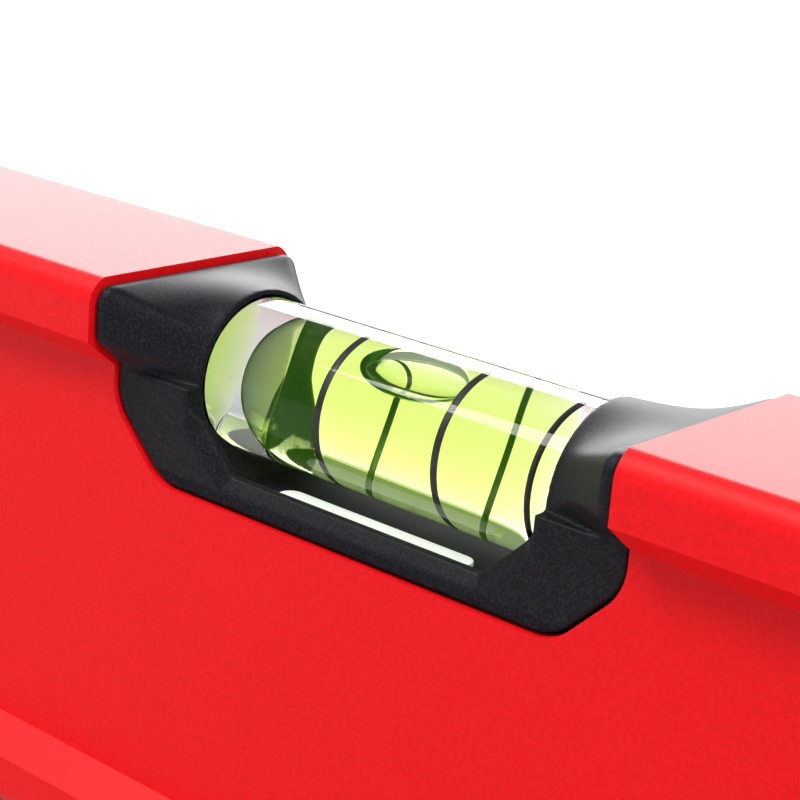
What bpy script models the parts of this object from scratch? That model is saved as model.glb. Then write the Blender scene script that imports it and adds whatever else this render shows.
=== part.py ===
"""A box-section spirit level with one level vial in a top cut-out and two plumb vials in its web.

The frame's origin is the middle of the base: +X runs along the level, -Y is its front, +Z is up.
Sizes are named in millimetres and turned into metres by MM where a shape is made.
"""

import math

import bmesh
import bpy
from mathutils import Matrix, Vector

MM = 0.001

# Overall size
LEVEL_LENGTH = 400.0
LEVEL_WIDTH = 27.0
LEVEL_HEIGHT = 60.0

# Extruded frame: rails top and bottom, a recessed web between them
WALL = 1.5
RAIL_CREASE_INSET = 1.9
RAIL_CORNER_DROP = 2.6
RAIL_CORNER_STEPS = 4
RAIL_FACE_END = 6.2
WEB_INSET = 3.45
WEB_START = 8.9

# Running clearances
FIT_GAP = 0.3
CUT_MARGIN = 2.0

# End caps
PAD_THICKNESS = 2.7
CAP_FLANGE = 2.7
CAP_SPIGOT_LENGTH = 14.0
CAP_SPIGOT_WALL = 2.0
CAP_INSET = 0.4
PEG_RADIUS = 3.5
PEG_LENGTH = 2.0
PEG_OFFSET_Z = 14.0

# Level vial, which lies a little under the top face
VIAL_WALL = 1.5
LEVEL_VIAL_RADIUS = 7.5
LEVEL_VIAL_HALF = 25.6
LEVEL_VIAL_DROP = 1.5
LEVEL_VIAL_Z = LEVEL_HEIGHT - LEVEL_VIAL_DROP - LEVEL_VIAL_RADIUS
LEVEL_CHAMBER_RADIUS = LEVEL_VIAL_RADIUS - VIAL_WALL
LEVEL_CHAMBER_HALF = 16.3
LEVEL_RING_AT = 6.9

# The level vial's housing: a tray under the vial with a window to each side
TRAY_GAP = 1.5
TRAY_THICKNESS = 0.9
TRAY_FLOOR = LEVEL_VIAL_Z - LEVEL_VIAL_RADIUS - TRAY_GAP
WINDOW_LIP_RISE = 1.8
WINDOW_FLOOR = TRAY_FLOOR + WINDOW_LIP_RISE
WINDOW_CORNER_X = 14.9

# The pocket that the housing drops into
POCKET_END_WALL = 4.3
POCKET_HALF = LEVEL_VIAL_HALF + FIT_GAP + POCKET_END_WALL
POCKET_FLOOR = TRAY_FLOOR - TRAY_THICKNESS - FIT_GAP
POCKET_SHOULDER_RISE = 6.6
POCKET_SHOULDER = POCKET_FLOOR + POCKET_SHOULDER_RISE
POCKET_CORNER = 2.0

# What the housing has on it
HOUSING_FACE_INSET = 0.3
BLOCK_SKIN_INSET = 0.6
BLOCK_SET_BACK = 0.05
BLOCK_OVERRUN = 1.0
BLOCK_TOP_DROP = 0.8
BLOCK_INNER_END = 20.4
BLOCK_LIP = 0.8
BLOCK_STEPS = 8
BLOCK_POINTS = 40
BLOCK_CURVE = 1.8
BLOCK_LOWER_RISE = 0.8
BLOCK_LOWER_Z = POCKET_SHOULDER + BLOCK_LOWER_RISE
LIP_THICKNESS = 0.8
LIP_CHAMFER_DEPTH = 0.95
LIP_CHAMFER_WIDTH = 1.4
FOOT_HALF = 21.0
FOOT_DEPTH = 2.8
FOOT_BOTTOM = POCKET_FLOOR - FOOT_DEPTH
STRIP_HALF = 11.4
STRIP_WIDTH = 3.0
STRIP_THICKNESS = 0.5
STRIP_AT = 5.9

# Plumb vials and their housings
PLUMB_FROM_END = 60.0
PLUMB_AT = LEVEL_LENGTH / 2 - PLUMB_FROM_END
PLUMB_VIAL_Z = LEVEL_HEIGHT / 2
PLUMB_VIAL_RADIUS = 6.5
PLUMB_VIAL_HALF = 16.5
PLUMB_CHAMBER_RADIUS = PLUMB_VIAL_RADIUS - VIAL_WALL
PLUMB_CHAMBER_HALF = 11.5
PLUMB_RING_AT = 4.6
PLUMB_POCKET_HALF_X = 16.0
PLUMB_END_WALL = 1.4
PLUMB_POCKET_HALF_Z = PLUMB_VIAL_HALF + 2 * FIT_GAP + PLUMB_END_WALL
PLUMB_POCKET_CHAMFER = 6.5
PLUMB_WINDOW_HALF_X = 9.0
PLUMB_WINDOW_HALF_Z = 11.0
PLUMB_WINDOW_CHAMFER = 3.5
PLUMB_SPLIT_GAP = 0.15

# What every vial has
PLUG_SHORT = 0.4
PLUG_GROOVE_DEPTH = 1.0
PLUG_GROOVE_WIDTH = 1.6
PLUG_GROOVE_FROM_NOSE = 2.0
RING_WIDTH = 0.9
RING_DEPTH = 0.5
RING_SEAT_GAP = 0.15
VIAL_SEGMENTS = 32
SMALL_SEGMENTS = 24
LEVEL_BUBBLE = (6.0, 3.3, 2.1)
PLUMB_BUBBLE = (4.2, 4.2, 3.0)
BUBBLE_RINGS = 12
NECK_SHARE = 0.6
LIQUID_GAP = 0.3

COLOURS = {
    "red_coat": ((0.80, 0.02, 0.03, 1.0), 0.45, 0.0),
    "black_plastic": ((0.03, 0.03, 0.035, 1.0), 0.5, 0.0),
    "clear_acrylic": ((0.92, 0.95, 0.92, 1.0), 0.05, 0.0),
    "green_liquid": ((0.62, 0.86, 0.13, 1.0), 0.1, 0.0),
    "bubble_air": ((0.85, 0.97, 0.6, 1.0), 0.05, 0.0),
    "black_mark": ((0.01, 0.01, 0.012, 1.0), 0.5, 0.0),
    "black_rubber": ((0.02, 0.02, 0.022, 1.0), 0.8, 0.0),
    "white_plastic": ((0.9, 0.9, 0.9, 1.0), 0.4, 0.0),
}


def clear_scene():
    """Removes what the start-up scene holds."""
    for obj in list(bpy.data.objects):
        bpy.data.objects.remove(obj, do_unlink=True)


def new_collection(name):
    """A collection of its own under the scene's."""
    made = bpy.data.collections.new(name)
    bpy.context.scene.collection.children.link(made)
    return made


def material(slot):
    """The Principled material of a named finish."""
    if slot in bpy.data.materials:
        return bpy.data.materials[slot]
    colour, roughness, metallic = COLOURS[slot]
    made = bpy.data.materials.new(slot)
    made.use_nodes = True
    shader = made.node_tree.nodes["Principled BSDF"]
    shader.inputs["Base Color"].default_value = colour
    shader.inputs["Roughness"].default_value = roughness
    shader.inputs["Metallic"].default_value = metallic
    return made


def as_part(obj, name, slot, home):
    """Names an object, gives it its finish and moves it to a collection."""
    obj.name = name
    obj.data.name = name
    obj.data.materials.clear()
    obj.data.materials.append(material(slot))
    for holder in list(obj.users_collection):
        holder.objects.unlink(obj)
    home.objects.link(obj)
    obj.data.shade_smooth()
    obj.data.set_sharp_from_angle(angle=math.radians(30))
    return obj


def as_cutter(obj, name, home):
    """Names an object that only cuts, and keeps it out of the model."""
    obj.name = name
    for holder in list(obj.users_collection):
        holder.objects.unlink(obj)
    home.objects.link(obj)
    obj.hide_render = True
    obj.display_type = "WIRE"
    return obj


def rounded(corners, radius, steps=4):
    """The points of a polygon whose corners are rounded by arcs of one radius."""
    points = []
    count = len(corners)
    for i, corner in enumerate(corners):
        here = Vector(corner)
        before = (Vector(corners[i - 1]) - here).normalized()
        after = (Vector(corners[(i + 1) % count]) - here).normalized()
        half = before.angle(after) / 2
        centre = here + (before + after).normalized() * (radius / math.sin(half))
        first = here + before * (radius / math.tan(half)) - centre
        last = here + after * (radius / math.tan(half)) - centre
        sweep = first.angle(last)
        for k in range(steps + 1):
            share = k / steps
            blend = first * math.sin((1 - share) * sweep) + last * math.sin(share * sweep)
            points.append(tuple(centre + blend / math.sin(sweep)))
    return points


def welded(obj):
    """Merges the loose caps that a curve leaves on its sides."""
    work = bmesh.new()
    work.from_mesh(obj.data)
    bmesh.ops.remove_doubles(work, verts=work.verts, dist=1e-6)
    bmesh.ops.recalc_face_normals(work, faces=work.faces)
    work.to_mesh(obj.data)
    work.free()
    return obj


def extruded(outlines, thickness, turn, centre):
    """A mesh object from flat outlines in millimetres, extruded both ways from a centre and turned in space."""
    curve = bpy.data.curves.new("outline", "CURVE")
    curve.dimensions = "2D"
    curve.fill_mode = "BOTH"
    curve.extrude = thickness * MM / 2
    for outline in outlines:
        spline = curve.splines.new("POLY")
        spline.points.add(len(outline) - 1)
        for point, (x, y) in zip(spline.points, outline):
            point.co = (x * MM, y * MM, 0, 1)
        spline.use_cyclic_u = True
    guide = bpy.data.objects.new("outline", curve)
    bpy.context.scene.collection.objects.link(guide)
    bpy.context.view_layer.update()
    evaluated = guide.evaluated_get(bpy.context.evaluated_depsgraph_get())
    mesh = bpy.data.meshes.new_from_object(evaluated)
    bpy.data.objects.remove(guide, do_unlink=True)
    obj = bpy.data.objects.new("extruded", mesh)
    bpy.context.scene.collection.objects.link(obj)
    mesh.transform(Matrix.Translation(Vector(centre) * MM) @ turn.to_4x4())
    return welded(obj)


# A flat outline's x and y become these axes of the level, and its thickness the third.
ALONG_X = Matrix(((0, 0, 1), (1, 0, 0), (0, 1, 0)))
ALONG_Y = Matrix(((1, 0, 0), (0, 0, -1), (0, 1, 0)))


def turned(profile, axis, centre, segments=VIAL_SEGMENTS):
    """A solid of revolution from (radius, height) points that run from its top to its bottom."""
    mesh = bpy.data.meshes.new("turned")
    work = bmesh.new()
    verts = [work.verts.new((radius * MM, 0, height * MM)) for radius, height in profile]
    for first, second in zip(verts, verts[1:]):
        work.edges.new((first, second))
    work.to_mesh(mesh)
    work.free()
    obj = bpy.data.objects.new("turned", mesh)
    bpy.context.scene.collection.objects.link(obj)
    screw = obj.modifiers.new("turn", "SCREW")
    screw.axis = "Z"
    screw.steps = segments
    screw.render_steps = segments
    screw.use_merge_vertices = True
    screw.merge_threshold = 0.000001
    baked(obj)
    turn = Vector((0, 0, 1)).rotation_difference(Vector(axis)).to_matrix().to_4x4()
    obj.data.transform(Matrix.Translation(Vector(centre) * MM) @ turn)
    return welded(obj)


def baked(obj):
    """Replaces an object's mesh by what its modifiers make of it."""
    bpy.context.view_layer.update()
    evaluated = obj.evaluated_get(bpy.context.evaluated_depsgraph_get())
    mesh = bpy.data.meshes.new_from_object(evaluated)
    obj.modifiers.clear()
    obj.data = mesh
    return obj


def cylinder(radius, low, high, axis, centre, segments=VIAL_SEGMENTS):
    """A solid cylinder between two heights along an axis through a centre."""
    profile = [(0, high), (radius, high), (radius, low), (0, low)]
    return turned(profile, axis, centre, segments)


def egg(semi_axes, centre, segments=SMALL_SEGMENTS):
    """An ellipsoid with its own three half sizes."""
    mesh = bpy.data.meshes.new("egg")
    work = bmesh.new()
    bmesh.ops.create_uvsphere(work, u_segments=segments, v_segments=BUBBLE_RINGS, radius=1)
    work.to_mesh(mesh)
    work.free()
    size = Matrix.Diagonal((*[side * MM for side in semi_axes], 1))
    mesh.transform(Matrix.Translation(Vector(centre) * MM) @ size)
    obj = bpy.data.objects.new("egg", mesh)
    bpy.context.scene.collection.objects.link(obj)
    return obj


def lofted(rings):
    """A closed solid through rings of as many points each, with both ends filled."""
    mesh = bpy.data.meshes.new("loft")
    work = bmesh.new()
    loops = [[work.verts.new(Vector(point) * MM) for point in ring] for ring in rings]
    count = len(rings[0])
    for near, far in zip(loops, loops[1:]):
        for i in range(count):
            j = (i + 1) % count
            work.faces.new((near[i], near[j], far[j], far[i]))
    work.faces.new(loops[0])
    work.faces.new(loops[-1])
    bmesh.ops.recalc_face_normals(work, faces=work.faces)
    bmesh.ops.triangulate(work, faces=[face for face in work.faces if len(face.verts) > 4])
    work.to_mesh(mesh)
    work.free()
    obj = bpy.data.objects.new("loft", mesh)
    bpy.context.scene.collection.objects.link(obj)
    return obj


def combined(obj, others, operation, cutters):
    """Cuts other solids from an object, or joins them to it, and keeps the tools as guides."""
    for number, other in enumerate(others):
        as_cutter(other, f"{operation.lower()}_tool", cutters)
        step = obj.modifiers.new(f"{operation.lower()}_{number}", "BOOLEAN")
        step.operation = operation
        step.object = other
        baked(obj)
    return obj


# --- The frame's section and the caps that close it -------------------------------------------


def rail_corner(inset):
    """The rail's rounded corner from the top crease to its upright face, in (y, z) from the top."""
    width = RAIL_CREASE_INSET
    drop = RAIL_CORNER_DROP
    radius = (width**2 + drop**2) / (2 * width)
    centre_y = LEVEL_WIDTH / 2 - radius
    start = math.asin(drop / radius)
    reach = radius - inset
    if reach <= 0:
        return [(LEVEL_WIDTH / 2 - inset, inset)]
    points = []
    for k in range(RAIL_CORNER_STEPS + 1):
        angle = start * (1 - k / RAIL_CORNER_STEPS)
        height = drop - reach * math.sin(angle)
        points.append((centre_y + reach * math.cos(angle), max(height, inset)))
    return points


def half_section(inset):
    """The frame's section on the +Y side from its top to its base, moved inwards by an inset."""
    face = LEVEL_WIDTH / 2 - inset
    web = LEVEL_WIDTH / 2 - WEB_INSET - inset
    slope = math.atan2(WEB_START - RAIL_FACE_END, WEB_INSET)
    shift = inset * math.tan((math.pi / 2 - slope) / 2)
    top = [*rail_corner(inset), (face, RAIL_FACE_END - shift), (web, WEB_START - shift)]
    upper = [(y, LEVEL_HEIGHT - z) for y, z in top]
    return upper + [(y, LEVEL_HEIGHT - z) for y, z in reversed(upper)]


def full_section(inset):
    """The frame's whole outline moved inwards by an inset."""
    right = half_section(inset)
    return right + [(-y, z) for y, z in reversed(right)]


def pocket_outline(clearance, top):
    """The level housing's pocket as seen from the front, drawn in by a clearance."""
    half = POCKET_HALF - clearance
    floor = POCKET_FLOOR + clearance
    lean = POCKET_HALF - POCKET_SHOULDER - clearance * math.sqrt(2)
    corners = [(half, half - lean), (floor + lean, floor)]
    outline = [(half, top), *corners, *[(-x, z) for x, z in reversed(corners)], (-half, top)]
    return rounded(outline, POCKET_CORNER)


def octagon(half_x, half_z, chamfer):
    """A box outline with its four corners cut at 45 degrees, about its own centre."""
    corners = [(half_x, half_z - chamfer), (half_x - chamfer, half_z)]
    left = [(-x, z) for x, z in reversed(corners)]
    upper = corners + left
    return upper + [(-x, -z) for x, z in upper]


def moved(outline, x, z):
    """An outline shifted in its own plane."""
    return [(px + x, pz + z) for px, pz in outline]


def frame_length():
    """The extrusion's own length between the two caps."""
    return LEVEL_LENGTH - 2 * (PAD_THICKNESS + CAP_FLANGE + 2 * FIT_GAP)


def make_profile(parts, cutters):
    """The hollow aluminium extrusion with its three cut-outs."""
    body = extruded([full_section(0), full_section(WALL)], frame_length(), ALONG_X, (0, 0, 0))
    through = LEVEL_WIDTH + 2 * CUT_MARGIN
    top = LEVEL_HEIGHT + POCKET_CORNER + CUT_MARGIN
    tools = [extruded([pocket_outline(0, top)], through, ALONG_Y, (0, 0, 0))]
    hole = octagon(PLUMB_POCKET_HALF_X, PLUMB_POCKET_HALF_Z, PLUMB_POCKET_CHAMFER)
    for side in (-1, 1):
        place = moved(hole, side * PLUMB_AT, PLUMB_VIAL_Z)
        tools.append(extruded([place], through, ALONG_Y, (0, 0, 0)))
    combined(body, tools, "DIFFERENCE", cutters)
    return as_part(body, "frame_profile", "red_coat", parts)


def make_end(side, label, parts, cutters):
    """One hard plug that fits the extrusion's end, and the rubber pad pegged onto it."""
    start = frame_length() / 2 + FIT_GAP
    flange = extruded([full_section(CAP_INSET)], CAP_FLANGE, ALONG_X, (start + CAP_FLANGE / 2, 0, 0))
    outer = full_section(WALL + FIT_GAP)
    inner = full_section(WALL + FIT_GAP + CAP_SPIGOT_WALL)
    reach = CAP_SPIGOT_LENGTH + FIT_GAP + CAP_FLANGE / 2
    spigot = extruded([outer, inner], reach, ALONG_X, (start + CAP_FLANGE / 2 - reach / 2, 0, 0))
    combined(flange, [spigot], "UNION", cutters)
    pad_start = start + CAP_FLANGE + FIT_GAP
    pad = extruded([full_section(CAP_INSET)], PAD_THICKNESS, ALONG_X, (pad_start + PAD_THICKNESS / 2, 0, 0))
    holes, pegs = [], []
    for offset in (-PEG_OFFSET_Z, PEG_OFFSET_Z):
        centre = (pad_start, 0, LEVEL_HEIGHT / 2 + offset)
        deep = PEG_LENGTH + 2 * FIT_GAP
        holes.append(cylinder(PEG_RADIUS + FIT_GAP, -deep, CUT_MARGIN, (1, 0, 0), centre, SMALL_SEGMENTS))
        pegs.append(cylinder(PEG_RADIUS, -PEG_LENGTH, PAD_THICKNESS / 2, (1, 0, 0), centre, SMALL_SEGMENTS))
    combined(flange, holes, "DIFFERENCE", cutters)
    combined(pad, pegs, "UNION", cutters)
    for obj in (flange, pad):
        if side < 0:
            obj.data.transform(Matrix.Rotation(math.pi, 4, "Z"))
    as_part(flange, f"end_plug_{label}", "black_plastic", parts)
    as_part(pad, f"end_pad_{label}", "black_rubber", parts)


# --- The vials ----------------------------------------------------------------------------------


class Vial:
    """The sizes and the place of one vial, whose axis runs towards its plug."""

    def __init__(self, label, centre, axis, radius, half, chamber_radius, chamber_half, ring_at):
        self.label = label
        self.centre = centre
        self.axis = axis
        self.radius = radius
        self.half = half
        self.chamber_radius = chamber_radius
        self.chamber_half = chamber_half
        self.ring_at = ring_at


def groove_profile(radius, top, bottom, grooves):
    """The outside of a turned body from top to bottom with square grooves, as (radius, height) points."""
    points = [(radius, top)]
    for middle, width, depth in sorted(grooves, reverse=True):
        points += [
            (radius, middle + width / 2),
            (radius - depth, middle + width / 2),
            (radius - depth, middle - width / 2),
            (radius, middle - width / 2),
        ]
    return points + [(radius, bottom)]


def make_vial(vial, parts):
    """The acrylic body, its plug and seal and its two rings."""
    seat = (RING_WIDTH + 2 * RING_SEAT_GAP, RING_DEPTH)
    outside = groove_profile(
        vial.radius,
        vial.half,
        -vial.half,
        [(vial.ring_at, *seat), (-vial.ring_at, *seat)],
    )
    bore = [(0, -vial.chamber_half), (vial.chamber_radius, -vial.chamber_half), (vial.chamber_radius, vial.half)]
    body = turned(bore + outside + [(0, -vial.half)], vial.axis, vial.centre)
    as_part(body, f"{vial.label}_vial_body", "clear_acrylic", parts)

    plug_radius = vial.chamber_radius - FIT_GAP
    nose = vial.chamber_half + FIT_GAP
    groove_at = nose + PLUG_GROOVE_FROM_NOSE + PLUG_GROOVE_WIDTH / 2
    side = groove_profile(
        plug_radius,
        vial.half - PLUG_SHORT,
        nose,
        [(groove_at, PLUG_GROOVE_WIDTH, PLUG_GROOVE_DEPTH)],
    )
    plug = turned([(0, vial.half - PLUG_SHORT), *side, (0, nose)], vial.axis, vial.centre)
    as_part(plug, f"{vial.label}_vial_plug", "clear_acrylic", parts)

    seal = ring(
        plug_radius - PLUG_GROOVE_DEPTH + RING_SEAT_GAP,
        vial.chamber_radius - RING_SEAT_GAP,
        PLUG_GROOVE_WIDTH - 2 * RING_SEAT_GAP,
        groove_at,
        vial,
    )
    as_part(seal, f"{vial.label}_plug_seal", "black_rubber", parts)
    for name, sign in (("far", -1), ("near", 1)):
        mark = ring(
            vial.radius - RING_DEPTH + RING_SEAT_GAP,
            vial.radius,
            RING_WIDTH,
            sign * vial.ring_at,
            vial,
        )
        as_part(mark, f"{vial.label}_ring_{name}", "black_mark", parts)


def ring(inner, outer, width, at, vial):
    """A square ring round a vial's axis."""
    profile = [(inner, width / 2), (outer, width / 2), (outer, -width / 2), (inner, -width / 2)]
    profile.append(profile[0])
    middle = Vector(vial.centre) + Vector(vial.axis) * at
    return turned(profile, vial.axis, middle)


def make_filling(vial, bubble_size, bubble_centre, parts, cutters):
    """The liquid with a hollow for the bubble that opens at its crown, and the bubble."""
    end = vial.chamber_half - LIQUID_GAP
    liquid = cylinder(vial.chamber_radius - LIQUID_GAP, -end, end, vial.axis, vial.centre)
    hollow = egg([side + LIQUID_GAP for side in bubble_size], bubble_centre)
    crown = Vector(bubble_centre) + Vector((0, 0, bubble_size[2]))
    neck = egg([side * NECK_SHARE for side in bubble_size], crown)
    combined(liquid, [neck, hollow], "DIFFERENCE", cutters)
    as_part(liquid, f"{vial.label}_liquid", "green_liquid", parts)
    bubble = egg(bubble_size, (0, 0, 0))
    as_part(bubble, f"{vial.label}_bubble", "bubble_air", parts)
    bubble.location = Vector(bubble_centre) * MM


def level_vial():
    """The horizontal vial's values."""
    return Vial(
        "level",
        (0, 0, LEVEL_VIAL_Z),
        (1, 0, 0),
        LEVEL_VIAL_RADIUS,
        LEVEL_VIAL_HALF,
        LEVEL_CHAMBER_RADIUS,
        LEVEL_CHAMBER_HALF,
        LEVEL_RING_AT,
    )


def plumb_vial(side, label):
    """An upright vial's values. Its plug is at its lower end, so that the bubble rests against clear acrylic."""
    return Vial(
        f"plumb_{label}",
        (side * PLUMB_AT, 0, PLUMB_VIAL_Z),
        (0, 0, -1),
        PLUMB_VIAL_RADIUS,
        PLUMB_VIAL_HALF,
        PLUMB_CHAMBER_RADIUS,
        PLUMB_CHAMBER_HALF,
        PLUMB_RING_AT,
    )


# --- The housings -------------------------------------------------------------------------------


def window_outline(widen, top):
    """The level housing's opening as seen from the front, widened all round."""
    half = BLOCK_INNER_END
    floor = WINDOW_FLOOR - widen
    lean = WINDOW_CORNER_X - WINDOW_FLOOR + widen * math.sqrt(2)
    corners = [(half, half - lean), (floor + lean, floor)]
    return [(half, top), *corners, *[(-x, z) for x, z in reversed(corners)], (-half, top)]


def head_outline():
    """The rail's end as the block meets it, from the top crease round both sides, in (y, z)."""
    half = [(y, z) for y, z in half_section(BLOCK_SKIN_INSET) if z > LEVEL_HEIGHT / 2]
    top = LEVEL_HEIGHT - BLOCK_TOP_DROP
    side = [(y, min(z, top)) for y, z in half]
    web = LEVEL_WIDTH / 2 - WEB_INSET - HOUSING_FACE_INSET - BLOCK_SET_BACK
    side[-1] = (web, side[-1][1])
    side.append((web, BLOCK_LOWER_Z))
    return side + [(-y, z) for y, z in reversed(side)]


def reach_of(outline, angle):
    """How far a ray from the vial's axis runs at an angle before it meets an outline."""
    direction = Vector((math.cos(angle), math.sin(angle)))
    nearest = math.inf
    for (y1, z1), (y2, z2) in zip(outline, outline[1:] + outline[:1]):
        start = Vector((y1, z1 - LEVEL_VIAL_Z))
        along = Vector((y2 - y1, z2 - z1))
        cross = direction.x * along.y - direction.y * along.x
        if abs(cross) < 1e-9:
            continue
        distance = (start.x * along.y - start.y * along.x) / cross
        share = (start.x * direction.y - start.y * direction.x) / cross
        if distance > 0 and -1e-9 <= share <= 1 + 1e-9:
            nearest = min(nearest, distance)
    return nearest


def end_block(side):
    """The block that runs from the rail's section at the cut down to a round rim about the vial."""
    outline = head_outline()
    start = POCKET_HALF - FIT_GAP - BLOCK_SET_BACK
    rim = LEVEL_VIAL_RADIUS + FIT_GAP + BLOCK_LIP
    places = []
    for step in range(BLOCK_STEPS + 1):
        share = step / BLOCK_STEPS
        places.append((start + (BLOCK_INNER_END - start) * share, (1 - share) ** BLOCK_CURVE))
    places.append((BLOCK_INNER_END - BLOCK_OVERRUN, 0))
    rings = []
    for reach_x, weight in places:
        x = side * reach_x
        ring_points = []
        for k in range(BLOCK_POINTS):
            angle = 2 * math.pi * k / BLOCK_POINTS
            reach = rim + (reach_of(outline, angle) - rim) * weight
            ring_points.append((x, reach * math.cos(angle), LEVEL_VIAL_Z + reach * math.sin(angle)))
        rings.append(ring_points)
    return lofted(rings)


def facing_y(outline, y):
    """An outline seen from the front as points at one depth."""
    return [(x, y, z) for x, z in outline]


def make_level_housing(parts, cutters):
    """The one-piece housing that drops into the pocket and holds the level vial."""
    face = LEVEL_WIDTH / 2 - WEB_INSET - HOUSING_FACE_INSET
    low = [(x, z) for x, z in pocket_outline(FIT_GAP, LEVEL_HEIGHT) if z < LEVEL_VIAL_Z]
    edge = POCKET_HALF - FIT_GAP
    slab = extruded([[(edge, LEVEL_VIAL_Z), *low, (-edge, LEVEL_VIAL_Z)]], 2 * face, ALONG_Y, (0, 0, 0))
    foot_y = LEVEL_WIDTH / 2 - WEB_INSET - WALL - FIT_GAP
    foot_top = POCKET_FLOOR + FIT_GAP + LIP_THICKNESS
    foot = extruded(
        [[(FOOT_HALF, FOOT_BOTTOM), (FOOT_HALF, foot_top), (-FOOT_HALF, foot_top), (-FOOT_HALF, FOOT_BOTTOM)]],
        2 * foot_y,
        ALONG_Y,
        (0, 0, 0),
    )
    combined(slab, [foot, end_block(-1), end_block(1)], "UNION", cutters)

    top = LEVEL_HEIGHT + CUT_MARGIN
    lip_back = face - LIP_CHAMFER_DEPTH - LIP_THICKNESS
    window = extruded([window_outline(0, top)], 2 * face + 2 * CUT_MARGIN, ALONG_Y, (0, 0, 0))
    tray = extruded([window_outline(WINDOW_FLOOR - TRAY_FLOOR, top)], 2 * lip_back, ALONG_Y, (0, 0, 0))
    funnels = []
    for side in (-1, 1):
        rings = [
            facing_y(window_outline(0, top), side * (face - LIP_CHAMFER_DEPTH)),
            facing_y(window_outline(LIP_CHAMFER_WIDTH, top), side * face),
            facing_y(window_outline(LIP_CHAMFER_WIDTH, top), side * (face + CUT_MARGIN)),
        ]
        funnels.append(lofted(rings))
    bore = cylinder(
        LEVEL_VIAL_RADIUS + FIT_GAP,
        -LEVEL_VIAL_HALF - FIT_GAP,
        POCKET_HALF + CUT_MARGIN,
        (1, 0, 0),
        (0, 0, LEVEL_VIAL_Z),
    )
    combined(slab, [window, tray, *funnels, bore], "DIFFERENCE", cutters)
    return as_part(slab, "level_housing", "black_plastic", parts)


def make_sight_strip(side, label, parts):
    """A thin white strip that lies along the housing's floor under the vial."""
    corners = [(STRIP_HALF, -1), (STRIP_HALF, 1), (-STRIP_HALF, 1), (-STRIP_HALF, -1)]
    outline = rounded([(x, z * STRIP_WIDTH / 2) for x, z in corners], STRIP_WIDTH / 3)
    height = TRAY_FLOOR + FIT_GAP + STRIP_THICKNESS / 2
    strip = extruded([outline], STRIP_THICKNESS, Matrix.Identity(3), (0, side * STRIP_AT, height))
    return as_part(strip, f"sight_strip_{label}", "white_plastic", parts)


def make_plumb_housing(side, label, parts, cutters):
    """Two mouldings that meet between the webs and clamp an upright vial, made at the middle and moved out."""
    face = LEVEL_WIDTH / 2 - WEB_INSET - HOUSING_FACE_INSET
    outline = octagon(
        PLUMB_POCKET_HALF_X - FIT_GAP,
        PLUMB_POCKET_HALF_Z - FIT_GAP,
        PLUMB_POCKET_CHAMFER,
    )
    window = octagon(PLUMB_WINDOW_HALF_X, PLUMB_WINDOW_HALF_Z, PLUMB_WINDOW_CHAMFER)
    grow = LIP_CHAMFER_WIDTH
    wide = octagon(
        PLUMB_WINDOW_HALF_X + grow,
        PLUMB_WINDOW_HALF_Z + grow,
        PLUMB_WINDOW_CHAMFER + grow * (2 - math.sqrt(2)),
    )
    for name, sign in (("front", -1), ("back", 1)):
        depth = face - PLUMB_SPLIT_GAP
        middle = (0, sign * (PLUMB_SPLIT_GAP + depth / 2), 0)
        half = extruded([outline], depth, ALONG_Y, middle)
        hole = extruded([window], LEVEL_WIDTH, ALONG_Y, (0, 0, 0))
        rings = [
            facing_y(window, sign * (face - LIP_CHAMFER_DEPTH)),
            facing_y(wide, sign * face),
            facing_y(wide, sign * (face + CUT_MARGIN)),
        ]
        reach = PLUMB_VIAL_HALF + FIT_GAP
        bore = cylinder(PLUMB_VIAL_RADIUS + FIT_GAP, -reach, reach, (0, 0, 1), (0, 0, 0))
        combined(half, [hole, lofted(rings), bore], "DIFFERENCE", cutters)
        as_part(half, f"plumb_{label}_housing_{name}", "black_plastic", parts)
        half.location = (side * PLUMB_AT * MM, 0, PLUMB_VIAL_Z * MM)


def main():
    """Builds every sub-part of the level."""
    clear_scene()
    parts = new_collection("spirit_level")
    cutters = new_collection("cutters")
    make_profile(parts, cutters)
    for side, label in ((-1, "left"), (1, "right")):
        make_end(side, label, parts, cutters)

    make_level_housing(parts, cutters)
    for side, label in ((-1, "front"), (1, "back")):
        make_sight_strip(side, label, parts)
    vial = level_vial()
    make_vial(vial, parts)
    highest = LEVEL_VIAL_Z + LEVEL_CHAMBER_RADIUS - FIT_GAP - LIQUID_GAP
    make_filling(vial, LEVEL_BUBBLE, (0, 0, highest - LEVEL_BUBBLE[2]), parts, cutters)

    for side, label in ((-1, "left"), (1, "right")):
        make_plumb_housing(side, label, parts, cutters)
        vial = plumb_vial(side, label)
        make_vial(vial, parts)
        highest = PLUMB_VIAL_Z + PLUMB_CHAMBER_HALF - FIT_GAP - LIQUID_GAP
        centre = (side * PLUMB_AT, 0, highest - PLUMB_BUBBLE[2])
        make_filling(vial, PLUMB_BUBBLE, centre, parts, cutters)


main()
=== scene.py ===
"""The finished look of a box-section spirit level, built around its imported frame.

Each sub-assembly is a class whose fields are its sizes and whose methods model and dress its pieces.
Sizes are in metres, written as a count of millimetres times MM. +X runs along the level, -Y is its
front and +Z is up from its base.
"""

import logging
import math
from collections.abc import Callable, Sequence
from dataclasses import dataclass, field
from enum import Enum

import bpy
from mathutils import Matrix, Vector


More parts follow.
